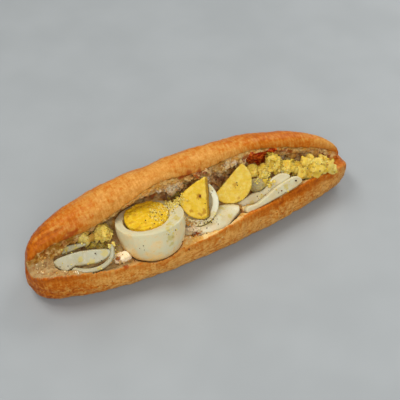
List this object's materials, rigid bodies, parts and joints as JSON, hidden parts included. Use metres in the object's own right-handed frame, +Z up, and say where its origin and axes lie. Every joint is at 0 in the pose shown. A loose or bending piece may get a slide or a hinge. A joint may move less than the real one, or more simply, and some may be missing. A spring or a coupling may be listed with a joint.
{
  "type": "egg sandwich",
  "caption": "Long soft-crusted bread roll slit along its front and opened, filled with boiled egg pieces, crumbled yolk and a little chilli sauce.",
  "frame": {"origin": "middle of the sandwich's footprint, on the surface it rests on", "axes": "+X runs along the roll, the open mouth faces -Y and up, +Z is up"},
  "size_m": [0.235, 0.0688, 0.0572],
  "materials": {
    "crust": "golden brown baked crust, soft satin, with pale porous crumb on the cut faces",
    "egg_white": "boiled egg white, moist and slightly translucent",
    "egg_yolk": "hard-boiled yolk, dull and grainy, with ground pepper",
    "yolk_crumble": "broken hard-boiled yolk, crumbly and dull",
    "bread_crumb": "pale porous bread crumb",
    "chilli_sauce": "dark red chilli sauce, wet and glossy, with ground pepper"
  },
  "bodies": {
    "root": {"bread_roll": "crust", "egg_half_white": "egg_white", "boat_white": "egg_white", "middle_white": "egg_white", "right_ring_white": "egg_white", "right_slab_white": "egg_white", "left_thick_slice": "egg_white", "left_thin_slice": "egg_white", "left_ring_slice": "egg_white", "egg_half_yolk": "egg_yolk", "boat_yolk": "egg_yolk", "half_moon_yolk": "egg_yolk", "yolk_lump_left_front": "yolk_crumble", "yolk_lump_left_back": "yolk_crumble", "yolk_lump_middle": "yolk_crumble", "yolk_skin_piece": "yolk_crumble", "yolk_lump_back_top": "yolk_crumble", "yolk_lump_back_left": "yolk_crumble", "yolk_lump_back_right": "yolk_crumble", "yolk_heap_right": "yolk_crumble", "crumb_block": "bread_crumb"}
  },
  "joints": []
}
